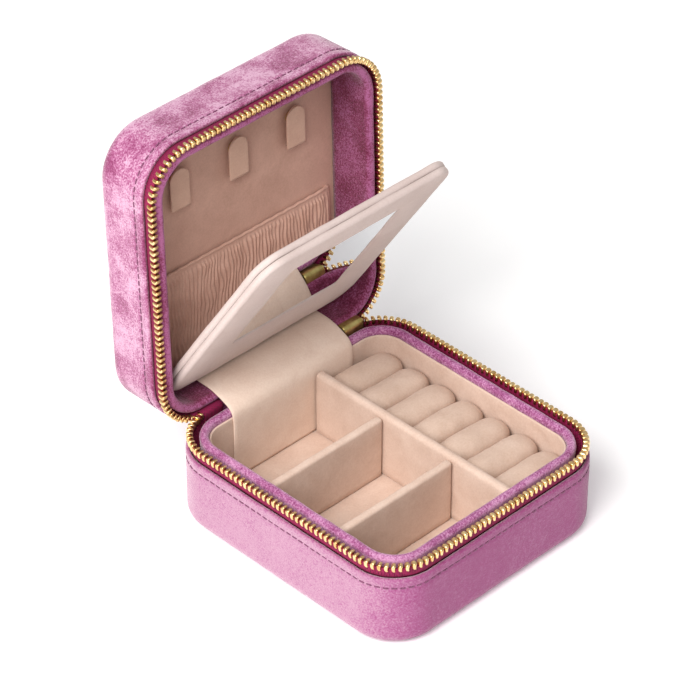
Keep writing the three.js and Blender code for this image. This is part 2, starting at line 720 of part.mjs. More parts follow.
const flapLow = -FLAP_STRIP.length; // the flap's lower edge
const { halfX: stripEnd, thick: stripThick } = FLAP_STRIP;
const flapStrip = box(
  -stripEnd,
  stripEnd,
  flapLow + GAP / 2,
  -GAP / 2,
  -stripThick / 2,
  stripThick / 2,
);
addPart(flap, "flap_strip", flapStrip, "suede");

const flapHigh = flapLow - FLAP.length;
const flapHalf = FLAP.thick / 2;
const coreHalf = FLAP.core / 2;
const padThick = flapHalf - coreHalf - GAP;
const flapRectangle = (inset) =>
  roundedRectangle(
    -FLAP.halfX + inset,
    FLAP.halfX - inset,
    flapHigh + inset,
    flapLow - inset,
    FLAP.corner - inset,
  );
const flapOutline = flapRectangle(0);
const mirrorLow = flapLow - MIRROR.low;
const mirrorHigh = flapLow - MIRROR.high;
const windowRectangle = (inset) =>
  roundedRectangle(
    -MIRROR.halfX + inset,
    MIRROR.halfX - inset,
    mirrorHigh + inset,
    mirrorLow - inset,
    MIRROR.corner - inset,
  );
const frontPad = plate(flapOutline, -flapHalf, -flapHalf + padThick);
const windowTool = plate(windowRectangle(0), -FLAP.thick, 0, FINE_STEPS);
addPart(flap, "flap_front_pad", cut(frontPad, windowTool), "suede");
addPart(flap, "flap_board", plate(flapRectangle(FLAP.coreInset), -coreHalf, coreHalf), "board");
addPart(flap, "flap_back_pad", plate(flapOutline, flapHalf - padThick, flapHalf), "suede");
const glassBack = -coreHalf - GAP;
const glass = plate(windowRectangle(GAP), glassBack - MIRROR_THICK, glassBack, FINE_STEPS);
addPart(flap, "mirror_glass", glass, "mirror");

flap.position.set(0, FLAP_AXIS.y, FLAP_AXIS.z);
flap.rotation.x = turn(FLAP_OPEN);

// The lid swings about the hinge line: shift it to the line, turn it, and shift it back.
lid.rotation.x = -turn(LID_OPEN);
const hingePoint = new THREE.Vector3(0, HINGE_Y, HINGE_Z);
lid.position.copy(hingePoint).sub(hingePoint.clone().applyEuler(lid.rotation));

export default jewelryCase;
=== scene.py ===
"""Looks of the open velvet jewelry case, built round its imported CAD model.

Shapes are drawn in millimetres, in three places: the base's, which is the row frame, the
lid's, in which the lid is drawn shut, and the flap's, whose origin is its hinge.
"""

import json
import math

import bmesh
import bpy
import numpy as np
from mathutils import Matrix, Vector, noise


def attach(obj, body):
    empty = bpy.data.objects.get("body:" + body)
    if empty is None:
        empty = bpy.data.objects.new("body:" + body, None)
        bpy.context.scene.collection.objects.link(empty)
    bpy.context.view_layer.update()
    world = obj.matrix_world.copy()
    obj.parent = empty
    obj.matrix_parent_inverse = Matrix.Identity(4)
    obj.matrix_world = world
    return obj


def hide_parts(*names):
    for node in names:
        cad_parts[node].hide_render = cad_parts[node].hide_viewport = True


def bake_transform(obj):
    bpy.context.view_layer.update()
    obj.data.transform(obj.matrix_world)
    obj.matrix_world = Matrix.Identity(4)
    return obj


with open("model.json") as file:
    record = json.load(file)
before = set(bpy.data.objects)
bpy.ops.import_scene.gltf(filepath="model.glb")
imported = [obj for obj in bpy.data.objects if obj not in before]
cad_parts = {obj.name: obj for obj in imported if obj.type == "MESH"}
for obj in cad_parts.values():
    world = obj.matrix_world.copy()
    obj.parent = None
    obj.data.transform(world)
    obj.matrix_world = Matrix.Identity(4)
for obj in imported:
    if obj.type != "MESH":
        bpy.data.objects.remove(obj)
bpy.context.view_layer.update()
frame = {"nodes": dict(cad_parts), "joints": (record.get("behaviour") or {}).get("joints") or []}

MM = 0.001

# -------- places of the moving parts

joints = {joint["name"]: joint for joint in frame["joints"]}
LID_OPEN = math.radians(-joints["lid_hinge"]["range_deg"][0])
FLAP_OPEN = math.radians(-joints["flap_hinge"]["range_deg"][0])


def point_of(joint):
    """A point on a joint's axis, in metres."""
    return Vector(joints[joint]["pos_m"])


hinge = point_of("lid_hinge")
crease = point_of("flap_hinge")
BASE = Matrix.Identity(4)
LID = Matrix.Translation(hinge) @ Matrix.Rotation(-LID_OPEN, 4, "X") @ Matrix.Translation(-hinge)
FLAP = Matrix.Translation(crease) @ Matrix.Rotation(FLAP_OPEN - LID_OPEN, 4, "X")


def span(node, place=BASE):
    """Lowest and highest corner of a CAD node, in millimetres, in one of the places."""
    back = place.inverted()
    corners = np.array([back @ v.co for v in frame["nodes"][node].data.vertices]) / MM
    return corners.min(0), corners.max(0)


# -------- sizes, in millimetres

base_wall = span("base_velvet_wall")
lid_wall = span("lid_velvet_wall", LID)
BASE_HALF = base_wall[1][:2]
LID_HALF = lid_wall[1][:2]
BASE_CORNER = 17.0
LID_CORNER = 17.3
BASE_PLAN = (BASE_HALF, BASE_CORNER)
LID_PLAN = (LID_HALF, LID_CORNER)
BASE_RIM = base_wall[1][2]
LID_RIM = lid_wall[0][2]
LID_TOP = span("lid_top_cover", LID)[1][2]
EDGE = 5.0  # rounded edge at the large faces
LIP = 0.75  # rounded edge at the rim
VELVET = 1.2  # a shell's thickness
SUEDE = 0.7
TAPE_THICK = 0.7

base_row = span("base_zip_teeth")
lid_row = span("lid_zip_teeth", LID)
ROW_MIDDLE = 1.1  # from the CAD row's outer face to the middle of its teeth
BASE_ROW_INSET = BASE_HALF[0] - base_row[1][0] + ROW_MIDDLE
LID_ROW_INSET = LID_HALF[0] - lid_row[1][0] + ROW_MIDDLE
MATING = (base_row[1][2] + lid_row[0][2]) / 2

FRAME_FOOT = span("base_inner_frame")[0][2]
FRAME_TOP = span("base_inner_frame")[1][2]
FRAME_INSET = BASE_HALF[0] - span("base_inner_frame")[1][0]
FRAME_THICK = 3.1
FRAME_RECESS = 0.5  # dark gap between the zip and the frame, beyond the CAD frame's own
FRAME_RISE = 0.4  # of the velvet's round edge above the CAD frame's top
LID_FRAME = span("lid_inner_frame", LID)
LID_FRAME_INSET = LID_HALF[0] - LID_FRAME[1][0] + 0.2
LID_FRAME_THICK = 3.3

lining = span("base_wall_lining")
LINING_INSET = BASE_HALF[0] - lining[1][0]
FLOOR = span("base_floor_lining")
FLOOR_CORNER = 9.2
PANEL = span("lid_panel", LID)
PANEL_CORNER = 13.0
STRIP_HALF = span("hinge_strip_base")[1][0]
SPINE_HALF = span("spine_base")[1][0]

STITCH_DROP = 3.4  # from a shell's rim to its stitch line
STITCH = {"pitch": 2.7, "length": 1.9, "radius": 0.26, "inset": 0.24}
GROOVE = {"deep": 0.32, "wide": 0.55}  # where the stitches pull the velvet in
TOOTH = {"pitch": 2.15, "thick": 2.3, "wide": 1.3, "tall": 2.75, "bend": 0.5}


# -------- outlines

class Outline:
    """A rounded rectangle, followed counter-clockwise from the middle of its +Y side."""

    def __init__(self, half, corner, inset=0.0):
        self.x = half[0] - corner
        self.y = half[1] - corner
        self.corner = corner - inset
        turn = self.corner * math.pi / 2
        long, deep = 2 * self.x, 2 * self.y
        self.lengths = [self.x, turn, deep, turn, long, turn, deep, turn, self.x]
        self.total = sum(self.lengths)

    def at(self, distance):
        """(point, outward direction) at a distance along the outline."""
        left = distance % self.total
        index = 0
        while left > self.lengths[index] and index < len(self.lengths) - 1:
            left -= self.lengths[index]
            index += 1
        quarter = (index + 1) // 2
        sign = [(0, 1), (-1, 1), (-1, -1), (1, -1), (1, 1)][quarter]
        centre = np.array([sign[0] * self.x, sign[1] * self.y])
        if index % 2:
            angle = quarter * math.pi / 2 + left / self.corner
        else:
            angle = (quarter + 1) * math.pi / 2
            centre = centre + np.array([-math.sin(angle), math.cos(angle)]) * left
        outward = np.array([math.cos(angle), math.sin(angle)])
        return centre + outward * self.corner, outward

    def walk(self, step, start=0.0, end=None):
        """Evenly spaced points and outward directions, all round or from start to end."""
        ring = end is None
        length = self.total if ring else end - start
        count = max(2, round(length / step))
        spots = [self.at(start + length * i / count) for i in range(count + (not ring))]
        return np.array([s[0] for s in spots]), np.array([s[1] for s in spots])


def arc(inset, z, radius, start, end, steps):
    """Profile corners on an arc, with angles in degrees."""
    turns = [math.radians(start + (end - start) * i / steps) for i in range(steps + 1)]
    return [(inset + radius * math.cos(t), z + radius * math.sin(t)) for t in turns]


def circle(steps):
    """Even angles round a circle."""
    return [2 * math.pi * i / steps for i in range(steps)]


def refine(profile, step):
    """The same closed profile with its long sides split."""
    result = []
    for a, b in zip(profile, profile[1:] + profile[:1]):
        count = max(1, math.ceil(math.dist(a, b) / step))
        for i in range(count):
            t = i / count
            result.append((a[0] + (b[0] - a[0]) * t, a[1] + (b[1] - a[1]) * t))
    return result


def plan(half, corner, step):
    """A function that gives an outline's points at an inset."""
    points, outward = Outline(half, corner).walk(step)
    return lambda inset: points - outward * inset


# -------- making pieces

def loft(rings, loop=False, cap=False):
    """Vertices and faces of a skin over closed rings of equal length.

    With loop, the last ring joins the first. With cap, a face closes each end.
    """
    size = len(rings[0])
    vertices = np.concatenate(rings)
    faces = []
    last = len(rings) if loop else len(rings) - 1
    for i in range(last):
        here, there = i * size, ((i + 1) % len(rings)) * size
        for j in range(size):
            k = (j + 1) % size
            faces.append((here + j, here + k, there + k, there + j))
    if cap:
        faces.append(tuple(range(size)))
        faces.append(tuple(range(len(vertices) - size, len(vertices))))
    return vertices, faces


def make(name, shape, finish, place=BASE, smooth=True):
    """An object of (vertices in millimetres, faces), with its faces turned outwards."""
    vertices, faces = shape
    mesh = bpy.data.meshes.new(name)
    mesh.from_pydata([tuple(v) for v in np.asarray(vertices, float) * MM], [], faces)
    work = bmesh.new()
    work.from_mesh(mesh)
    bmesh.ops.remove_doubles(work, verts=work.verts, dist=1e-7)
    bmesh.ops.recalc_face_normals(work, faces=work.faces)
    work.to_mesh(mesh)
    work.free()
    mesh.transform(place)
    mesh.polygons.foreach_set("use_smooth", [smooth] * len(mesh.polygons))
    mesh.materials.append(finish)
    piece = bpy.data.objects.new(name, mesh)
    bpy.context.scene.collection.objects.link(piece)
    return piece


def crumple(piece, amount, size, seed):
    """Moves the surface in and out by about amount, in lumps of about size, in millimetres."""
    mesh = piece.data
    shift = Vector((seed, seed * 1.7, seed * 2.3))
    scale = 1 / (size * MM)
    normals = [v.normal.copy() for v in mesh.vertices]
    for vertex, normal in zip(mesh.vertices, normals):
        spot = vertex.co * scale
        depth = noise.noise(spot + shift) + 0.4 * noise.noise(spot * 2.7 + shift)
        vertex.co += normal * depth * amount * MM
    return piece


def swept(profile, walk):
    """Rings of a profile of (inset, z) along a walk of points and outward directions."""
    rings = []
    for point, out in zip(*walk):
        rings.append(np.array([(point[0] - out[0] * i, point[1] - out[1] * i, z) for i, z in profile]))
    return rings


def soft_box(low, high, radii, step, round_steps):
    """A box with elliptical edges.

    radii holds one radius, or one for the low and one for the high side, for each of X, Y and Z.
    """
    radii = [pair if isinstance(pair, tuple) else (pair, pair) for pair in radii]
    lines = []
    for lo, hi, (r0, r1) in zip(low, high, radii):
        straight = hi - lo - r0 - r1
        middle = max(1, round(straight / step))
        turns = [math.pi / 2 * i / round_steps for i in range(round_steps + 1)]
        line = [lo + r0 * (1 - math.cos(turn)) for turn in turns[:-1]]
        line += [lo + r0 + straight * i / middle for i in range(middle + 1)]
        line += [hi - r1 + r1 * math.sin(turn) for turn in turns[1:]]
        lines.append(line)
    vertices, index, faces = [], {}, []
    counts = [len(line) for line in lines]

    def corner(*key):
        if key not in index:
            spot, pull = [], []
            for axis, i in enumerate(key):
                value = lines[axis][i]
                r0, r1 = radii[axis]
                inner_low, inner_high = low[axis] + r0, high[axis] - r1
                if value < inner_low:
                    spot.append(inner_low)
                    pull.append(((value - inner_low) / r0, r0))
                elif value > inner_high:
                    spot.append(inner_high)
                    pull.append(((value - inner_high) / r1, r1))
                else:
                    spot.append(value)
                    pull.append((0.0, 1.0))
            length = math.sqrt(sum(p * p for p, _ in pull)) or 1.0
            vertices.append([s + p / length * r for s, (p, r) in zip(spot, pull)])
            index[key] = len(vertices) - 1
        return index[key]

    for axis in range(3):
        u, v = (axis + 1) % 3, (axis + 2) % 3
        for side in (0, counts[axis] - 1):
            for i in range(counts[u] - 1):
                for j in range(counts[v] - 1):
                    face = []
                    for di, dj in ((0, 0), (1, 0), (1, 1), (0, 1)):
                        key = [0, 0, 0]
                        key[axis], key[u], key[v] = side, i + di, j + dj
                        face.append(corner(*key))
                    faces.append(tuple(face))
    return np.array(vertices), faces


def many(shapes):
    """One shape of several."""
    vertices, faces, start = [], [], 0
    for points, polygons in shapes:
        vertices.append(points)
        faces += [tuple(start + i for i in polygon) for polygon in polygons]
        start += len(points)
    return np.concatenate(vertices), faces


def hold(piece, body, slot, *nodes):
    """The piece rides on a body and stands for CAD nodes."""
    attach(piece, body)
    if nodes:
        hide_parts(*nodes)


# -------- finishes

def srgb(red, green, blue):
    """A linear colour of 0 to 255 display values."""
    def linear(value):
        value /= 255
        return value / 12.92 if value <= 0.04045 else ((value + 0.055) / 1.055) ** 2.4
    return (linear(red), linear(green), linear(blue), 1.0)


class Finish:
    """A procedural material. Feature sizes are in millimetres of the object's own space."""

    def __init__(self, name, **sockets):
        self.material = bpy.data.materials.new(name)
        self.material.use_nodes = True
        self.tree = self.material.node_tree
        self.shader = self.tree.nodes["Principled BSDF"]
        for socket, value in sockets.items():
            self.shader.inputs[socket.replace("_", " ")].default_value = value
        self.space = self.add("ShaderNodeTexCoord").outputs["Object"]

    def add(self, kind, inputs=None, **settings):
        node = self.tree.nodes.new(kind)
        for key, value in settings.items():
            setattr(node, key, value)
        for key, value in (inputs or {}).items():
            node.inputs[key].default_value = value
        return node

    def put(self, source, target):
        self.tree.links.new(source, target)

    def noise(self, size, detail=3.0, roughness=0.5, distortion=0.0, stretch=None):
        inputs = {"Detail": detail, "Roughness": roughness, "Distortion": distortion}
        node = self.add("ShaderNodeTexNoise", {"Scale": 1 / (size * MM), **inputs})
        space = self.space
        if stretch:
            mapping = self.add("ShaderNodeMapping", {"Scale": stretch})
            self.put(space, mapping.inputs["Vector"])
            space = mapping.outputs["Vector"]
        self.put(space, node.inputs["Vector"])
        return node.outputs["Fac"]

    def wave(self, size, turn, distortion=0.3):
        mapping = self.add("ShaderNodeMapping", {"Rotation": [math.radians(t) for t in turn]})
        self.put(self.space, mapping.inputs["Vector"])
        scale = math.pi / 10 / (size * MM)
        node = self.add("ShaderNodeTexWave", {"Scale": scale, "Distortion": distortion})
        self.put(mapping.outputs["Vector"], node.inputs["Vector"])
        return node.outputs["Fac"]

    def ramp(self, value, stops):
        """Colours, as display values, by position."""
        node = self.add("ShaderNodeValToRGB")
        elements = node.color_ramp.elements
        while len(elements) < len(stops):
            elements.new(0.5)
        for element, (position, colour) in zip(elements, stops):
            element.position = position
            element.color = srgb(*colour)
        self.put(value, node.inputs["Fac"])
        return node.outputs["Color"]

    def sum(self, a, b, weight):
        """a + weight * b"""
        node = self.add("ShaderNodeMath", {1: weight}, operation="MULTIPLY_ADD")
        self.put(b, node.inputs[0])
        self.put(a, node.inputs[2])
        return node.outputs[0]

    def span(self, value, low, high):
        """Maps 0..1 to low..high."""
        node = self.add("ShaderNodeMapRange", {"To Min": low, "To Max": high})
        self.put(value, node.inputs["Value"])
        return node.outputs["Result"]

    def colour(self, source):
        self.put(source, self.shader.inputs["Base Color"])

    def rough(self, source):
        self.put(source, self.shader.inputs["Roughness"])

    def bump(self, height, depth):
        node = self.add("ShaderNodeBump", {"Strength": 1.0, "Distance": depth * MM})
        self.put(height, node.inputs["Height"])
        self.put(node.outputs["Normal"], self.shader.inputs["Normal"])


def velvet(name, dark, middle, light, crush, sheen, painted_light_direction):
    """Short pile that catches light in patches. crush is how strongly they show.

    The last argument is a direction: surfaces that face along it are painted paler, painted light that
    stands in for the light those sides catch.
    """
    f = Finish(name, Roughness=0.9, Sheen_Weight=sheen, Sheen_Roughness=0.38, Specular_IOR_Level=0.1)
    f.shader.inputs["Sheen Tint"].default_value = srgb(255, 240, 244)
    broad = f.span(f.noise(26, 2.0, 0.5, 0.3), -0.7 * crush, 0.7 * crush)
    patches = f.span(f.noise(9.0, 4.0, 0.6, 0.4), -0.95 * crush, 0.95 * crush)
    strokes = f.span(f.noise(2.4, 3.0, 0.7, 0.2), -0.2 * crush - 0.1, 0.2 * crush + 0.1)
    speckle = f.noise(0.6, 3.0, 0.75)
    # painted light: the colour is paler where the surface faces the given direction
    painted_light_by_facing = f.add("ShaderNodeVectorMath", {1: painted_light_direction}, operation="DOT_PRODUCT")
    f.put(f.add("ShaderNodeTexCoord").outputs["Normal"], painted_light_by_facing.inputs[0])
    value = f.sum(speckle, speckle, 0.3)
    for layer in (broad, patches, strokes, painted_light_by_facing.outputs["Value"]):
        value = f.sum(value, layer, 1.0)
    f.colour(f.ramp(value, [(0.42, dark), (0.65, middle), (0.9, light)]))
    f.bump(f.sum(speckle, f.noise(0.3, 2.0), 0.8), 0.16)
    return f.material


def suede(name, light, shade, patch=9.0):
    """Fine brushed microsuede with faint finger marks."""
    f = Finish(name, Roughness=0.92, Sheen_Weight=0.25, Sheen_Roughness=0.45, Specular_IOR_Level=0.12)
    f.shader.inputs["Sheen Tint"].default_value = srgb(255, 240, 228)
    marks = f.noise(patch, 4.0, 0.55, 0.6)
    grain = f.noise(0.7, 3.0, 0.65)
    f.colour(f.ramp(f.sum(f.span(marks, 0.1, 0.6), grain, 0.42), [(0.3, shade), (0.78, light)]))
    f.bump(f.sum(grain, f.noise(0.28, 2.0), 0.7), 0.07)
    return f.material


def brass(name, colour, shade, roughness, scratch):
    f = Finish(name, Metallic=1.0)
    tarnish = f.noise(3.5, 4.0, 0.6)
    lines = f.noise(0.5, 4.0, 0.7, 0.2, (1.0, 6.0, 1.0))
    f.colour(f.ramp(tarnish, [(0.3, shade), (0.62, colour)]))
    f.rough(f.span(f.sum(tarnish, lines, scratch), roughness * 0.7, roughness * 1.6))
    f.bump(lines, 0.012)
    return f.material


def woven_tape():
    """Herringbone zip tape: two slanted ribs laid over each other."""
    f = Finish("crimson_tape", Roughness=0.85)
    one = f.wave(0.5, (0, 0, 45))
    other = f.wave(0.5, (45, 0, 0))
    ribs = f.sum(one, other, 1.0)
    depth = f.sum(ribs, f.noise(2.0), 0.5)
    f.colour(f.ramp(f.span(depth, 0.0, 0.5), [(0.15, (76, 2, 34)), (0.75, (172, 16, 88))]))
    f.bump(ribs, 0.12)
    return f.material


def cardboard():
    f = Finish("grey_board", Roughness=0.9)
    fibres = f.noise(1.2, 5.0, 0.7, 0.3, (1.0, 0.3, 1.0))
    f.colour(f.ramp(fibres, [(0.3, (140, 122, 98)), (0.7, (186, 168, 140))]))
    f.bump(fibres, 0.08)
    return f.material


def elastic_band():
    f = Finish("woven_elastic", Roughness=0.85)
    ribs = f.wave(0.7, (0, 0, 0), 0.1)
    f.colour(f.ramp(ribs, [(0.1, (200, 180, 164)), (0.9, (236, 222, 208))]))
    f.bump(ribs, 0.2)
    return f.material


def thread(name, light, dark):
    f = Finish(name, Roughness=0.6, Sheen_Weight=0.2)
    ply = f.wave(0.4, (0, 45, 45), 0.2)
    f.colour(f.ramp(ply, [(0.2, dark), (0.8, light)]))
    f.bump(ply, 0.05)
    return f.material


def silvered_glass():
    f = Finish("mirror_silver", Metallic=1.0)
    smear = f.noise(18, 4.0, 0.6, 0.8)
    f.colour(f.ramp(smear, [(0.3, (236, 240, 242)), (0.7, (246, 248, 249))]))
    f.rough(f.span(smear, 0.008, 0.03))
    return f.material


# The last value of each velvet is the direction whose faces are painted paler: painted light, not the
# pile's own colour.
VELVET_BASE = velvet(
    "velvet_base", (150, 66, 118), (166, 98, 140), (184, 136, 161), 0.12, 0.7, (-0.2, 0.2, 0.0)
)
VELVET_LID = velvet(
    "velvet_lid", (132, 54, 96), (170, 98, 138), (208, 162, 188), 0.52, 0.7, (-0.05, 0.0, 0.09)
)
VELVET_RIM = velvet(
    "velvet_rim", (122, 52, 96), (164, 94, 140), (208, 152, 190), 0.3, 0.6, (0.0, -0.16, 0.0)
)
# A darker, redder copy of the rim velvet for the lid's inner frame: painted shade, with painted red
# bounce light, for the inside of the lid.
VELVET_INSIDE_PAINTED_SHADE = velvet(
    "velvet_inside_painted_shade", (102, 34, 60), (130, 56, 88), (176, 104, 148), 0.3, 0.3, (0.0, -0.22, 0.0)
)
SUEDE_TRAY = suede("suede_tray", (224, 201, 186), (196, 166, 148))
# A darker copy of the tray suede: painted shade that tones down the rolls, which face up into the key
# light.
SUEDE_ROLL_PAINTED_SHADE = suede("suede_roll_painted_shade", (214, 190, 174), (188, 158, 138))
# A lighter copy of the tray suede: painted light that lifts the hinge strip out of the flap's shadow.
SUEDE_STRIP_PAINTED_LIGHT = suede("suede_strip_painted_light", (240, 220, 204), (218, 190, 172))
SUEDE_LID = suede("suede_lid", (226, 188, 170), (194, 154, 136))
SUEDE_TAB = suede("suede_tab", (230, 196, 174), (206, 166, 146))
SUEDE_FLAP = suede("suede_flap", (210, 194, 189), (190, 170, 164), 14.0)
TEETH_BRASS = brass("teeth_brass", (252, 224, 168), (216, 170, 106), 0.22, 0.3)
SLIDER_BRASS = brass("slider_brass", (214, 198, 130), (176, 156, 90), 0.3, 0.5)
SNAP_BRASS = brass("snap_brass", (226, 196, 130), (190, 158, 92), 0.28, 0.4)
TAPE = woven_tape()
BOARD = cardboard()
ELASTIC = elastic_band()
VELVET_THREAD = thread("velvet_thread", (138, 70, 110), (84, 28, 60))
SUEDE_THREAD = thread("suede_thread", (196, 170, 150), (150, 122, 104))
MIRROR = silvered_glass()


# -------- shells

def shell_profile(rim, face, side):
    """The outer and inner half of a velvet shell's profile, of (inset, z).

    side is -1 where the large face is the lower one.
    """
    stitch = rim + side * STITCH_DROP
    centre = face - side * EDGE
    start = rim + side * 0.9
    steps = 26
    heights = [start + (centre - rim - side * 0.9) * i / steps for i in range(steps + 1)]
    flank = [(GROOVE["deep"] * math.exp(-((z - stitch) / GROOVE["wide"]) ** 2), z) for z in heights]
    lip = arc(LIP, rim + side * LIP, LIP, -side * 90, -side * 180, 5)
    turn = arc(EDGE, centre, EDGE, 180, 180 - side * 90, 9)
    reach = 16.6  # how far in the large face's rings go
    outside = lip + flank + turn[1:] + [(8.0, face), (12.0, face), (reach, face)]
    inner_face = face - side * VELVET
    inside = [(reach, inner_face), (EDGE, inner_face)]
    inside += arc(EDGE, centre, EDGE - VELVET, 180 - side * 90, 180, 5)[1:]
    inside += [(VELVET + 0.1, rim + side * 2.5), (VELVET + 0.1, rim)]
    return outside, inside


def shell(name, half, corner, rim, face, side, finish, place):
    """The velvet wall and large face of the base or the lid."""
    outside, inside = shell_profile(rim, face, side)
    walk = Outline(half, corner).walk(1.4)
    rings = [np.array(ring) for ring in zip(*swept(outside + inside, walk))]
    vertices, faces = loft(rings, loop=True)
    size = len(rings[0])
    # The two middle rings carry the large faces in place of the strip between them.
    gap = (len(outside) - 1) * size
    faces = [f for f in faces if not (gap <= f[0] < gap + size and f[2] >= gap + size)]
    faces.append(tuple(range(gap, gap + size)))
    faces.append(tuple(range(gap + size, gap + 2 * size)))
    return crumple(make(name, (vertices, faces), finish, place), 0.1, 9.0, side * 3.0)


def stitches(name, half, corner, z, place):
    """Dashed thread along a shell."""
    line = Outline(half, corner, STITCH["inset"])
    reach = np.array([STITCH["length"] / 2, STITCH["radius"], STITCH["radius"]])
    dash, faces = soft_box(-reach, reach, [0.35, 0.19, 0.19], 1.0, 2)
    shapes = []
    count = round(line.total / STITCH["pitch"])
    for i in range(count):
        point, out = line.at(line.total * i / count)
        along = np.array([-out[1], out[0]])
        spots = np.zeros_like(dash)
        spots[:, :2] = point + np.outer(dash[:, 0], along) + np.outer(dash[:, 1], out)
        spots[:, 2] = z + dash[:, 2] + 0.06 * math.sin(i * 2.4)
        shapes.append((spots, faces))
    return make(name, many(shapes), VELVET_THREAD, place)


base_shell = shell("base_shell", *BASE_PLAN, BASE_RIM, 0.0, -1, VELVET_BASE, BASE)
hold(base_shell, "base", "velvet_outer", "base_velvet_wall", "base_bottom_cover")
lid_shell = shell("lid_shell", *LID_PLAN, LID_RIM, LID_TOP, 1, VELVET_LID, LID)
hold(lid_shell, "lid", "velvet_outer", "lid_velvet_wall", "lid_top_cover")
base_stitches = stitches("base_stitches", *BASE_PLAN, BASE_RIM - STITCH_DROP, BASE)
hold(base_stitches, "base", "velvet_outer")
lid_stitches = stitches("lid_stitches", *LID_PLAN, LID_RIM + STITCH_DROP, LID)
hold(lid_stitches, "lid", "velvet_outer")


# -------- velvet frames

def frame_ring(name, half, corner, inset, thick, foot, top, side, finish, place, puff, slim):
    """Velvet wrapped over a board wall with a round edge. side is 1 where the edge is on top.

    puff is how much fuller the edge is than the wall. slim is how much thinner the two sides
    along X are, to leave room for the flap between them.
    """
    half_thick = thick / 2
    inner = inset + thick
    centre = top - side * (half_thick + puff)
    bulge, straight = centre - side * 1.6, centre - side * 3.5
    edge = arc(inset + half_thick, centre, half_thick + puff, 0, side * 180, 12)
    neck = [(inset - puff * 0.4, bulge), (inset, straight), (inset, foot)]
    back = [(inner, foot), (inner, straight), (inner + puff * 0.4, bulge)]
    profile = refine(edge + neck + back, 1.6)
    points, outward = Outline(half, corner).walk(1.5)
    depth = (np.array([i for i, _ in profile]) - inset) / thick
    rings = swept(profile, (points, outward))
    for ring, out in zip(rings, outward):
        ring[:, :2] += np.outer(depth * slim * out[1] ** 6, out)
    return crumple(make(name, loft(rings, loop=True), finish, place), 0.12, 5.0, side)


base_frame = frame_ring(
    "base_frame",
    *BASE_PLAN,
    FRAME_INSET + FRAME_RECESS,
    FRAME_THICK - FRAME_RECESS,
    FRAME_FOOT,
    FRAME_TOP + FRAME_RISE,
    1,
    VELVET_RIM,
    BASE,
    puff=0.25,
    slim=0.0,
)
hold(base_frame, "base", "velvet_rim", "base_inner_frame")

# Its velvet is painted darker and redder: painted shade inside the lid.
lid_frame = frame_ring(
    "lid_frame",
    *LID_PLAN,
    LID_FRAME_INSET,
    LID_FRAME_THICK,
    LID_FRAME[1][2],
    LID_FRAME[0][2],
    -1,
    VELVET_INSIDE_PAINTED_SHADE,
    LID,
    puff=0.1,
    slim=0.5,
)
hold(lid_frame, "lid", "velvet_rim", "lid_inner_frame")


# -------- zip

def tooth_shape():
    """One tooth: legs that clamp the tape, a neck and a rounded head. Z is towards the mate."""
    half = TOOTH["wide"] / 2
    deep = TOOTH["thick"] / 2
    low, high = [-half, -deep, -TOOTH["tall"]], [half, deep, 0.0]
    points, faces = soft_box(low, high, [0.45, 0.8, (0.9, 0.75)], 0.8, 2)
    height = points[:, 2] / TOOTH["tall"]
    head = np.exp(-(((height + 0.2) / 0.17) ** 2))
    waist = np.exp(-(((height + 0.5) / 0.13) ** 2))
    points[:, 0] *= 1 + 0.12 * head - 0.1 * waist
    points[:, 1] *= 1 + 0.04 * head - 0.16 * waist
    points[:, 0] += TOOTH["bend"] * (4 * (height + 0.5) ** 2 - 0.5)
    return points, faces


TOOTH_SHAPE = tooth_shape()


def tooth_row(name, half, corner, inset, top, side, start, end, place, shift):
    """Teeth along the outline. side is 1 where they point up and -1 where they point down.

    shift moves the row along, as a share of the pitch, so that the two rows mesh.
    """
    line = Outline(half, corner, inset)
    points, faces = TOOTH_SHAPE
    shapes = []
    count = int((end - start) / TOOTH["pitch"])
    for i in range(count):
        spot, out = line.at(start + (i + shift) * TOOTH["pitch"])
        along = np.array([-out[1], out[0]])
        tooth = np.zeros_like(points)
        lean = 0.03 * math.sin(i * 1.9) * points[:, 2]
        tooth[:, :2] = spot + np.outer(points[:, 0] + lean, along) + np.outer(points[:, 1], out)
        tooth[:, 2] = top + side * points[:, 2]
        shapes.append((tooth, faces))
    return make(name, many(shapes), TEETH_BRASS, place)


def corner_ends(half, corner, inset, left, right):
    """Distances along an outline from the left rear corner round the front to the right one.

    left and right are how far, in degrees, each end has gone round its corner.
    """
    line = Outline(half, corner, inset)
    skips = [line.x + line.corner * math.radians(90 - degrees) for degrees in (left, right)]
    return skips[0], line.total - skips[1]


CHAIN_END = {"left": 84.0, "right": 70.0}
BASE_CHAIN = (*BASE_PLAN, BASE_ROW_INSET)
LID_CHAIN = (*LID_PLAN, LID_ROW_INSET)
base_ends = corner_ends(*BASE_CHAIN, *CHAIN_END.values())
lid_ends = corner_ends(*LID_CHAIN, *CHAIN_END.values())
base_teeth = tooth_row("base_teeth", *BASE_CHAIN, base_row[1][2] + 0.1, 1, *base_ends, BASE, 0.3)
hold(base_teeth, "base", "zip_brass", "base_zip_teeth")
lid_teeth = tooth_row("lid_teeth", *LID_CHAIN, lid_row[0][2] - 0.1, -1, *lid_ends, LID, 0.8)
hold(lid_teeth, "lid", "zip_brass", "lid_zip_teeth")


def tape_ring(name, half, corner, row_inset, section, start, end, place):
    """Zip tape between the shell and the teeth. section is its middle line, of (inset, z)."""
    line = Outline(half, corner)
    ratio = line.total / Outline(half, corner, row_inset).total
    walk = line.walk(1.2, start * ratio, end * ratio)
    front = [(i - TAPE_THICK / 2, z) for i, z in section]
    back = [(i + TAPE_THICK / 2, z) for i, z in reversed(section)]
    rings = swept(refine(front + back, 0.8), walk)
    return crumple(make(name, loft(rings, cap=True), TAPE, place), 0.05, 3.0, 5.0)


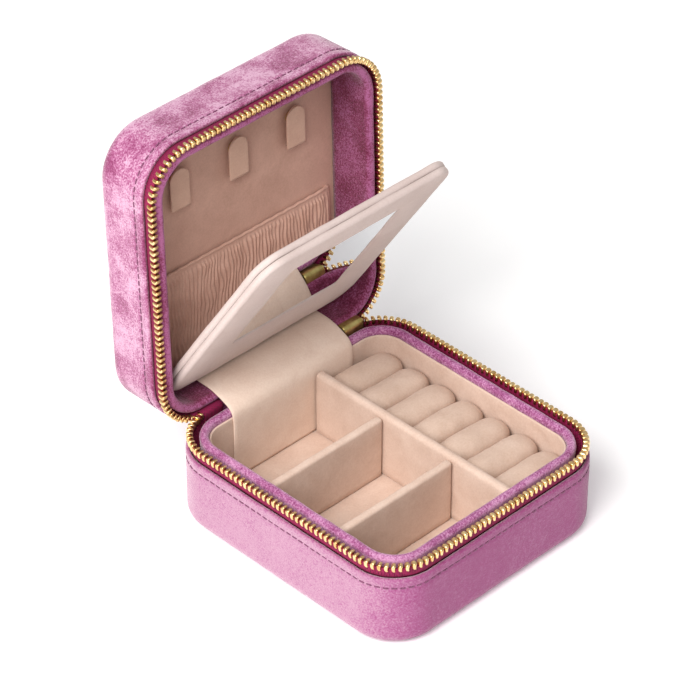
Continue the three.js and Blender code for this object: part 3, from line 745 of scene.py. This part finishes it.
base_section = [(3.9, 17.0), (3.9, 24.8), (2.6, 26.6), (1.7, 28.2)]
base_section += [(BASE_ROW_INSET, 29.6), (BASE_ROW_INSET, 31.4)]
base_tape = tape_ring("base_tape", *BASE_CHAIN, base_section, *base_ends, BASE)
hold(base_tape, "base", "zip_tape", "base_zip_tape")
lid_section = [(2.5, 41.4), (2.2, 39.4), (1.7, 38.0), (LID_ROW_INSET, 36.6), (LID_ROW_INSET, 34.6)]
lid_tape = tape_ring("lid_tape", *LID_CHAIN, lid_section, *lid_ends, LID)
hold(lid_tape, "lid", "zip_tape", "lid_zip_tape")


# -------- tray lining, floor and dividers

def lining_profile():
    """Closed profile of the suede round the tray, with a rolled upper edge."""
    inner = LINING_INSET + SUEDE
    low, high = lining[0][2], lining[1][2]
    roll = arc(LINING_INSET + 0.35, high - 0.1, 0.4, 180, 0, 6)
    wall = [(inner, high - 4), (inner, low + 1.5), (inner, low)]
    return refine([(LINING_INSET - 0.05, low)] + roll + wall, 2.0)


lining_rings = swept(lining_profile(), Outline(*BASE_PLAN).walk(1.6))
tray_lining = make("tray_lining", loft(lining_rings, loop=True), SUEDE_TRAY)
crumple(tray_lining, 0.14, 8.0, 2.0)
hold(tray_lining, "base", "suede", "base_wall_lining")


def level(points, z):
    """A ring of (x, y) points at one height."""
    return np.column_stack([points, np.full(len(points), z)])


def plate_rings(outline_at, low, high, edge, crown, steps=9, skirt=None):
    """Rings of a crowned plate, from the middle of its upper face to the middle of its lower one.

    skirt is the height down to which its edge is drawn, if that is past the lower face.
    """
    shares = (0.02, 0.25, 0.45, 0.6, 0.72, 0.82, 0.9, 0.95, 0.98)
    rings = [level(outline_at(edge) * t, high + crown * (1 - t ** 3)) for t in shares]
    for i in range(steps + 1):
        angle = math.pi / 2 * i / steps
        inset = edge * (1 - math.sin(angle))
        rings.append(level(outline_at(inset), high - edge * (1 - math.cos(angle))))
    if skirt is not None:
        rings += [level(outline_at(inset), skirt) for inset in (0.12, 1.0)]
    foot = outline_at(0.0 if skirt is None else 1.1)
    return rings + [level(foot * t, low) for t in (1.0, 0.7, 0.4, 0.02)]


floor_plan = plan(FLOOR[1][:2], FLOOR_CORNER, 2.0)
floor_rings = plate_rings(floor_plan, FLOOR[0][2], FLOOR[1][2], 0.5, 0.0)
tray_floor = make("tray_floor", loft(floor_rings, cap=True), SUEDE_TRAY)
hold(tray_floor, "base", "suede", "base_floor_lining")


def board_piece(name, node, radii, seed):
    """A suede-wrapped board wall inside its CAD node's box."""
    low, high = span(node)
    piece = make(name, soft_box(low, high, radii, 2.0, 4), SUEDE_TRAY)
    crumple(piece, 0.1, 7.0, seed)
    hold(piece, "base", "suede", node)


board_piece("centre_wall", "long_divider", [1.55, 0.3, (0.2, 1.5)], 3.0)
board_piece("rear_wall", "cross_divider_rear", [(0.3, 1.0), 1.1, (0.2, 1.1)], 4.0)
board_piece("front_wall", "cross_divider_front", [(0.3, 1.0), 1.1, (0.2, 1.1)], 5.0)


# -------- ring cushion

def ring_roll(index):
    """A suede roll stuffed with foam, which droops where it meets the lining."""
    node = f"ring_roll_{index}"
    low, high = span(node)
    low = low + np.array([-0.1, -0.14, 0.0])
    high = high + np.array([0.0, 0.14, 0.5])
    side = (high[1] - low[1]) / 2 - 0.4
    points, faces = soft_box(low, high, [(0.9, 6.4), side, (1.2, 5.4)], 1.2, 7)
    along = (points[:, 0] - low[0]) / (high[0] - low[0])
    lift = np.clip((points[:, 2] - low[2]) / (high[2] - low[2]), 0, 1)
    points[:, 2] -= lift * (1.7 * along ** 2.5 + 0.3 * np.sin(along * 8 + index * 1.7) * (1 - along))
    piece = make(f"roll_{index}", (points, faces), SUEDE_ROLL_PAINTED_SHADE)
    crumple(piece, 0.22, 6.0, index * 1.3)
    hold(piece, "base", "suede", node)


for number in range(1, 8):
    ring_roll(number)

foam_shape = soft_box(*span("ring_cushion"), [0.6, 0.6, 0.6], 3.0, 2)
foam_block = make("foam_block", foam_shape, SUEDE_TRAY)
hold(foam_block, "base", "foam", "ring_cushion")


# -------- fabric hinge

def smooth_line(points, step):
    """A smooth curve through points, cut into even steps, and its length."""
    knots = [points[0]] + list(points) + [points[-1]]
    dense = []
    for a, b, c, d in zip(knots, knots[1:], knots[2:], knots[3:]):
        a, b, c, d = (np.array(p, float) for p in (a, b, c, d))
        square, cube = 2 * a - 5 * b + 4 * c - d, 3 * b - a - 3 * c + d
        for i in range(24):
            t = i / 24
            dense.append(0.5 * (2 * b + (c - a) * t + square * t * t + cube * t ** 3))
    dense.append(np.array(points[-1], float))
    dense = np.array(dense)
    lengths = np.concatenate([[0], np.cumsum(np.linalg.norm(np.diff(dense, axis=0), axis=1))])
    spots = np.linspace(0, lengths[-1], max(2, round(lengths[-1] / step)) + 1)
    return np.column_stack([np.interp(spots, lengths, dense[:, i]) for i in range(2)]), lengths[-1]


def band(name, line, half_width, thick, finish, step=1.5):
    """A strip along X whose section follows a line of (y, z)."""
    line = np.asarray(line)
    along = np.gradient(line, axis=0)
    along /= np.linalg.norm(along, axis=1)[:, None]
    side = np.column_stack([-along[:, 1], along[:, 0]])
    columns = max(4, round(2 * half_width / step))
    across = [-half_width + 2 * half_width * i / columns for i in range(columns + 1)]
    face, fold = thick / 2, thick * 0.22  # half the thickness at the faces and at the round edges
    edge = half_width + 0.35 * thick
    section = [(x, face) for x in across] + [(edge, fold), (edge, -fold)]
    section += [(x, -face) for x in reversed(across)] + [(-edge, -fold), (-edge, fold)]
    rings = []
    for (y, z), (ny, nz) in zip(line, side):
        rings.append(np.array([(x, y + ny * out, z + nz * out) for x, out in section]))
    return make(name, loft(rings, cap=True), finish)


def yz(spot):
    """Y and Z in millimetres."""
    return spot.y / MM, spot.z / MM


def in_lid(y, z):
    """A point of the shut lid, as (y, z) in the row frame."""
    return yz(LID @ Vector((0, y * MM, z * MM)))


crease_y, crease_z = yz(crease)
tray_rear = span("hinge_strip_base")[0][1] + 0.3
strip_points = [
    (tray_rear, FLOOR[1][2] + 0.5),
    (tray_rear, 18.0),
    (tray_rear + 0.1, 28.6),
    (tray_rear + 1.3, 32.4),
    (tray_rear + 4.5, 34.4),
    (54.0, 36.2),
    (60.0, 36.5),
    (crease_y - 0.5, crease_z + 0.3),
]
strip_line, strip_length = smooth_line(strip_points, 0.8)
# Its suede is painted lighter, standing in for light under the flap.
hinge_strip = band("hinge_strip", strip_line, STRIP_HALF, SUEDE, SUEDE_STRIP_PAINTED_LIGHT)
crumple(hinge_strip, 0.09, 9.0, 6.0)
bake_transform(hinge_strip)
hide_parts("hinge_strip_base", "hinge_strip_lid")

hinge_y, hinge_z = yz(hinge)


def round_hinge(lower, reach, lid_shift=0.0):
    """Points up the base, past the hinge at a distance, and on along the open lid."""
    turn = -LID_OPEN / 2
    middle = (hinge_y + reach * math.cos(turn), hinge_z + reach * math.sin(turn))
    upper = [in_lid(y + lid_shift, 2 * MATING - z) for y, z in reversed(lower)]
    return lower + [middle] + upper


spine_points = round_hinge([(50.6, 24.8), (51.3, 27.6), (51.9, 29.6)], BASE_HALF[1] - hinge_y)
spine_line, spine_length = smooth_line(spine_points, 0.5)
spine = band("spine", spine_line, SPINE_HALF, 0.8, VELVET_BASE)
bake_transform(spine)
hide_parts("spine_base", "spine_lid")


def rear_tape(name, low_x, high_x):
    """Bare zip tape that bridges the gap beside the spine."""
    points = round_hinge([(49.6, 24.0), (50.6, 28.4)], 0.9, 0.2)
    line, length = smooth_line(points, 0.6)
    piece = band(name, line, (high_x - low_x) / 2, 0.6, TAPE)
    piece.data.transform(Matrix.Translation(((low_x + high_x) / 2 * MM, 0, 0)))
    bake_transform(piece)


REAR_TAPE_END = 39.5
SPINE_GAP = 0.3
rear_tape("rear_tape_left", -REAR_TAPE_END, -SPINE_HALF - SPINE_GAP)
rear_tape("rear_tape_right", SPINE_HALF + SPINE_GAP, REAR_TAPE_END)


# -------- zip slider and its pull

slider_low, slider_high = span("zip_slider")
body_low = [slider_low[0], hinge_y - 2.1, slider_low[2]]
body_high = [slider_high[0], hinge_y + 2.3, slider_high[2] + 0.3]
slider_parts = [soft_box(body_low, body_high, [(0.7, 2.0), 1.6, (0.5, 1.9)], 0.7, 5)]
pivot = np.array(point_of("pull_swing") / MM)
for side in (-1, 1):
    x = pivot[0] + side * 2.6
    cheek_low = [x - 0.55, hinge_y + 1.0, pivot[2] - 1.1]
    cheek_high = [x + 0.55, pivot[1] + 1.1, pivot[2] + 1.1]
    slider_parts.append(soft_box(cheek_low, cheek_high, [0.3, (0.2, 1.0), 0.9], 0.6, 3))
pin_reach = np.array([2.9, 0.6, 0.6])
slider_parts.append(soft_box(pivot - pin_reach, pivot + pin_reach, [0.3, 0.59, 0.59], 0.8, 4))
slider = make("slider", many(slider_parts), SLIDER_BRASS)
hold(slider, "base", "slider_brass", "zip_slider")


def pull_shape():
    """A ring round the pin and a tongue below it."""
    rings = []
    for angle in circle(28):
        section = []
        for turn in circle(10):
            radius = 1.28 + 0.3 * math.cos(turn)
            spot = [1.55 * math.sin(turn), radius * math.cos(angle), radius * math.sin(angle)]
            section.append(pivot + spot)
        rings.append(np.array(section))
    low, high = span("zip_pull")
    tongue_low = [low[0], pivot[1] - 0.6, low[2]]
    tongue_high = [high[0], pivot[1] + 0.6, pivot[2] - 1.3]
    tongue = soft_box(tongue_low, tongue_high, [1.0, 0.45, (2.2, 1.6)], 0.7, 4)
    return many([loft(rings, loop=True), tongue])


hold(make("pull", pull_shape(), SLIDER_BRASS), "zip_pull", "slider_brass", "zip_pull")


# -------- lid panel, pocket and tabs

panel_plan = plan(PANEL[1][:2], PANEL_CORNER, 2.0)
panel_rings = plate_rings(panel_plan, PANEL[1][2], PANEL[0][2], -0.6, 0.0)
lid_panel = make("panel", loft(panel_rings, cap=True), SUEDE_LID, LID)
crumple(lid_panel, 0.12, 16.0, 1.0)
hold(lid_panel, "lid", "suede", "lid_panel")

pocket_low, pocket_high = span("lid_pocket", LID)
pocket_span = pocket_high[0] - pocket_low[0]
pocket_depth = pocket_high[1] - pocket_low[1]
PANEL_FACE = PANEL[0][2]
HEM = 1.6  # smooth hem above the gathers
GATHER = 1.55  # from fold to fold
BELLY = {"edge": 1.0, "middle": 0.8}  # how far the pocket stands off the panel
FOLD_DEPTH = 0.9


def gather(x, drop):
    """Height of the gathered folds, 0 to about 1.5, at X and a distance below the pocket's edge."""
    wander = noise.noise(Vector((x / 7, drop / 8, 3.1))) * 5.0
    fade = noise.noise(Vector((x / 2.4, drop / 5, 8.4)))
    fold = 0.5 + 0.5 * math.sin(2 * math.pi * x / GATHER + wander + 0.9 * math.sin(drop / 2.2 + x / 5))
    return fold ** 0.8 * (0.75 + 0.8 * fade)


def pocket_surface(x, drop):
    """Offset of the pocket's face from the panel."""
    t = drop / pocket_depth
    swell = math.sin(math.pi * min(1, t * 1.1 + 0.15)) * (1 - t) ** 0.5
    belly = BELLY["edge"] + BELLY["middle"] * swell
    sides = min(1.0, (pocket_high[0] - abs(x)) / 5.0)
    edge = math.sqrt(max(0.0, sides))
    close = 1 if t < 0.9 else max(0.25, (1 - t) / 0.1)
    fold = 0 if drop < HEM else gather(x, drop) * min(1, (drop - HEM) / 1.2)
    strength = FOLD_DEPTH * (1 - 0.5 * t)
    return belly * close * (0.35 + 0.65 * edge) + fold * strength * (0.4 + 0.6 * edge)


def pocket_shape():
    """The gathered pocket, and the mean length of its cloth along X."""
    columns, rows = 420, 40
    rings, widths = [], []
    for i in range(rows + 1):
        drop = pocket_depth * (i / rows) ** 1.25
        y = pocket_low[1] + drop
        front, back = [], []
        for j in range(columns + 1):
            x = pocket_low[0] + pocket_span * j / columns
            out = pocket_surface(x, drop)
            front.append((x, y, PANEL_FACE - out))
            back.append((x, y, PANEL_FACE - max(0.15, out - SUEDE)))
        rings.append(np.array(front + back[::-1]))
        widths.append(np.linalg.norm(np.diff(front, axis=0), axis=1).sum())
    vertices, faces = loft(rings)
    size = len(rings[0])
    for start in (0, len(vertices) - size):
        last = start + size - 1
        faces += [(start + j, start + j + 1, last - 1 - j, last - j) for j in range(columns)]
    return (vertices, faces), np.mean(widths)


shape, pocket_width = pocket_shape()
pocket = make("pocket", shape, SUEDE_LID, LID)
hold(pocket, "lid", "suede", "lid_pocket")


def piping_shape():
    """A round strand along the pocket's hem, whose ends sink into the panel."""
    radius, steps = 0.55, 168
    rings = []
    for j in range(steps + 1):
        x = pocket_low[0] + 0.4 + (pocket_span - 0.8) * j / steps
        out = pocket_surface(x, 0.0) * min(1.0, (pocket_high[0] - abs(x)) / 3.0)
        y, z = pocket_low[1] + 0.1 + 0.12 * math.sin(x * 1.3), PANEL_FACE - out + 0.25
        ring = [(x, y + radius * math.cos(t), z + radius * math.sin(t)) for t in circle(8)]
        rings.append(np.array(ring))
    return loft(rings, cap=True)


hold(make("pocket_piping", piping_shape(), SUEDE_LID, LID), "lid", "suede")
elastic_shape = soft_box(*span("pocket_elastic", LID), [0.3, 0.3, 0.15], 1.0, 2)
hold(make("elastic_band", elastic_shape, ELASTIC, LID), "lid", "elastic", "pocket_elastic")


def tab_shape(x, low, high, fold):
    """A necklace tab: a tongue with a round end, sewn down at the other end."""
    half = (high[0] - low[0]) / 2
    thick, steps = 1.0, 30
    rings = []
    for i in range(steps + 1):
        y = low[1] + (high[1] - low[1]) * (1 - math.cos(math.pi / 2 * i / steps))
        reach = y - low[1]
        wide = math.sqrt(max(0.0, half ** 2 - (half - reach) ** 2)) if reach < half else half
        wide = max(wide, 0.25)
        sewn = min(1.0, max(0.0, (y - fold) / 2.2))
        sewn = sewn * sewn * (3 - 2 * sewn)
        face = low[2] * (1 - sewn) + (PANEL_FACE - thick - 0.15) * sewn
        section = []
        for turn in circle(24):
            cx, cz = math.cos(turn), math.sin(turn)
            side = wide * math.copysign(abs(cx) ** 0.35, cx)
            rise = thick / 2 * math.copysign(abs(cz) ** 0.6, cz)
            section.append((x + side, y, face + thick / 2 + rise))
        rings.append(np.array(section))
    return loft(rings, cap=True)


for number in (1, 2, 3):
    node = f"necklace_tab_{number}"
    low, high = span(node, LID)
    fold = (LID.inverted() @ point_of(f"tab_{number}_open")).y / MM
    centre_x = (low[0] + high[0]) / 2
    tab = make(f"tab_{number}", tab_shape(centre_x, low, high, fold), SUEDE_TAB, LID)
    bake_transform(tab)
    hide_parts(node)
    shapes = []
    for k in range(4):
        x = low[0] + 1.3 + k * (high[0] - low[0] - 2.6) / 3
        stitch_low = [x - 0.75, high[1] - 1.1, PANEL_FACE - 1.35]
        stitch_high = [x + 0.75, high[1] - 0.8, PANEL_FACE - 1.05]
        shapes.append(soft_box(stitch_low, stitch_high, [0.2, 0.14, 0.14], 0.5, 2))
    hold(make(f"tab_stitches_{number}", many(shapes), SUEDE_THREAD, LID), "lid", "suede")


# -------- mirror flap

pad_low, pad_high = span("flap_front_pad", FLAP)
back_low, back_high = span("flap_back_pad", FLAP)
glass_low, glass_high = span("mirror_glass", FLAP)
FLAP_CORNER = 8.0
PAD_EDGE = 1.25  # rounding of both pads' outer edge
SEAM = 0.07  # half the gap between the two pads at the flap's edge
flap_half = np.array([pad_high[0], (pad_high[1] - pad_low[1]) / 2])
flap_centre = np.array([0.0, (pad_high[1] + pad_low[1]) / 2])
GLASS_OVERLAP = 0.3  # from the CAD glass to the window's edge
window_half = (glass_high[:2] - glass_low[:2]) / 2 + GLASS_OVERLAP
window_centre = (glass_high[:2] + glass_low[:2]) / 2


def matched(outline, count):
    """Points of an outline, spread evenly on each of its sides and corners."""
    points, directions = [], []
    start = 0.0
    for length in outline.lengths:
        steps = count // 2 if length in (outline.lengths[0], outline.lengths[-1]) else count
        for i in range(steps):
            spot, out = outline.at(start + length * i / steps + 1e-6)
            points.append(spot)
            directions.append(out)
        start += length
    return np.array(points), np.array(directions)


def front_pad():
    """The padded front with its window: crowned between the outer edge and the window."""
    outer, outer_dir = matched(Outline(flap_half, FLAP_CORNER), 24)
    inner, inner_dir = matched(Outline(window_half, 1.5), 24)
    outer = outer + flap_centre
    inner = inner + window_centre
    face, rear = pad_low[2], pad_high[2]
    lip, crown = 0.7, 0.75
    rings = [level(inner, rear), level(inner, face + lip)]
    for i in range(1, 6):
        angle = math.pi / 2 * i / 5
        inset = lip * (1 - math.cos(angle))
        rings.append(level(inner + inner_dir * inset, face + lip * (1 - math.sin(angle))))
    start, stop = inner + inner_dir * lip, outer - outer_dir * PAD_EDGE
    for i in range(1, 16):
        t = i / 16
        rings.append(level(start * (1 - t) + stop * t, face - crown * math.sin(math.pi * t) ** 0.7))
    for i in range(7):
        angle = math.pi / 2 * i / 6
        inset = PAD_EDGE * (1 - math.sin(angle))
        rings.append(level(outer - outer_dir * inset, face + PAD_EDGE * (1 - math.cos(angle))))
    for inset, z in ((0.12, -SEAM), (1.0, -SEAM), (1.1, rear)):
        rings.append(level(outer - outer_dir * inset, z))
    return loft(rings, loop=True)


flap_front = make("flap_front", front_pad(), SUEDE_FLAP, FLAP)
crumple(flap_front, 0.16, 12.0, 9.0)
hold(flap_front, "mirror_flap", "suede_flap", "flap_front_pad")


back_plan = plan(flap_half, FLAP_CORNER, 1.5)
back_rings = plate_rings(back_plan, back_low[2], back_high[2], PAD_EDGE, 0.1, skirt=SEAM)
for ring in back_rings:
    ring[:, :2] += flap_centre
flap_back = make("flap_back", loft(back_rings, cap=True), SUEDE_FLAP, FLAP)
crumple(flap_back, 0.16, 12.0, 11.0)
hold(flap_back, "mirror_flap", "suede_flap", "flap_back_pad")

mirror_plan = plan(window_half - 0.35, 1.3, 1.5)
mirror_rings = plate_rings(mirror_plan, glass_high[2], glass_low[2], -0.35, 0.0, 2)
for ring in mirror_rings:
    ring[:, :2] += window_centre
mirror = make("mirror", loft(mirror_rings, cap=True), MIRROR, FLAP, smooth=False)
hold(mirror, "mirror_flap", "mirror", "mirror_glass")


# Suede strip that carries the flap: it bends at the flap's hinge line.
reach = FLAP.to_3x3() @ Vector((0, -1, 0)) * MM
strip_spots = [crease - Vector((0, 1.6, -0.1)) * MM, crease, crease + reach * 1.7, crease + reach * 3.6]
strip_line = [yz(spot) for spot in strip_spots]
flap_strip = band("flap_strip_cover", strip_line, STRIP_HALF - 1, SUEDE, SUEDE_FLAP)
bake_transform(flap_strip)
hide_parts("flap_strip")


# -------- CAD nodes that stay

boards = ["base_bottom_board", "base_wall_board", "lid_top_board", "lid_wall_board", "flap_board"]
small_brass = ["zip_bottom_stop", "zip_top_stop_base", "zip_top_stop_lid"]
for number in (1, 2, 3):
    small_brass += [f"snap_stud_{number}", f"snap_socket_{number}"]
for nodes, finish in ((boards, BOARD), (small_brass, SNAP_BRASS)):
    for node in nodes:
        frame["nodes"][node].data.materials.clear()
        frame["nodes"][node].data.materials.append(finish)


# -------- floor, lights and camera

def stage_floor():
    """A wide pale floor."""
    f = Finish("pale_floor", Roughness=0.9, Emission_Strength=0.16, Specular_IOR_Level=0.1)
    f.shader.inputs["Emission Color"].default_value = (1.0, 1.0, 1.0, 1.0)
    tone = f.noise(160, 2.0)
    f.colour(f.ramp(tone, [(0.3, (250, 250, 250)), (0.7, (253, 253, 253))]))
    corners = [(-FLOOR_HALF, -FLOOR_HALF, 0), (FLOOR_HALF, -FLOOR_HALF, 0)]
    corners += [(FLOOR_HALF, FLOOR_HALF, 0), (-FLOOR_HALF, FLOOR_HALF, 0)]
    floor = make("floor", (np.array(corners), [(0, 1, 2, 3)]), f.material)


def studio():
    """Even white surroundings."""
    world = bpy.data.worlds.new("studio")
    world.use_nodes = True
    background = world.node_tree.nodes["Background"]
    background.inputs["Color"].default_value = (1.0, 1.0, 1.0, 1.0)
    background.inputs["Strength"].default_value = 0.5
    bpy.context.scene.world = world


def key_light():
    """One large soft light from the left."""
    light = bpy.data.lights.new("key", "AREA")
    light.shape = "SQUARE"
    light.size = KEY["size"]
    light.energy = KEY["power"]
    light.color = KEY["colour"]
    lamp = bpy.data.objects.new("key", light)
    lamp.location = KEY["spot"]
    aim = Vector(KEY["target"]) - Vector(KEY["spot"])
    lamp.rotation_euler = aim.to_track_quat("-Z", "Y").to_euler()
    bpy.context.scene.collection.objects.link(lamp)


def camera():
    """The photograph's view."""
    lens = bpy.data.cameras.new("camera")
    lens.lens = CAMERA["lens"]
    lens.sensor_width = 36
    lens.clip_end = 50
    eye = bpy.data.objects.new("camera", lens)
    azimuth, elevation = math.radians(CAMERA["azimuth"]), math.radians(CAMERA["elevation"])
    x, y = math.sin(azimuth) * math.cos(elevation), -math.cos(azimuth) * math.cos(elevation)
    back = Vector((x, y, math.sin(elevation)))
    turn = (-back).to_track_quat("-Z", "Y").to_matrix().to_4x4()
    roll = Matrix.Rotation(math.radians(CAMERA["roll"]), 4, "Z")
    eye.matrix_world = Matrix.Translation(CAMERA["spot"]) @ turn @ roll
    bpy.context.scene.collection.objects.link(eye)
    bpy.context.scene.camera = eye


FLOOR_HALF = 2500
KEY = {
    "spot": (-0.75, -0.2, 0.85),
    "target": (0, 0, 0.04),
    "size": 0.7,
    "power": 16.0,
    "colour": (1.0, 0.985, 0.97),
}
CAMERA = {
    "spot": (-0.6413, -0.6280, 0.7483),
    "azimuth": -44.82,
    "elevation": 37.19,
    "roll": 0.17,
    "lens": 182.9,
}
stage_floor()
studio()
key_light()
camera()
bpy.context.scene.view_settings.view_transform = "Standard"
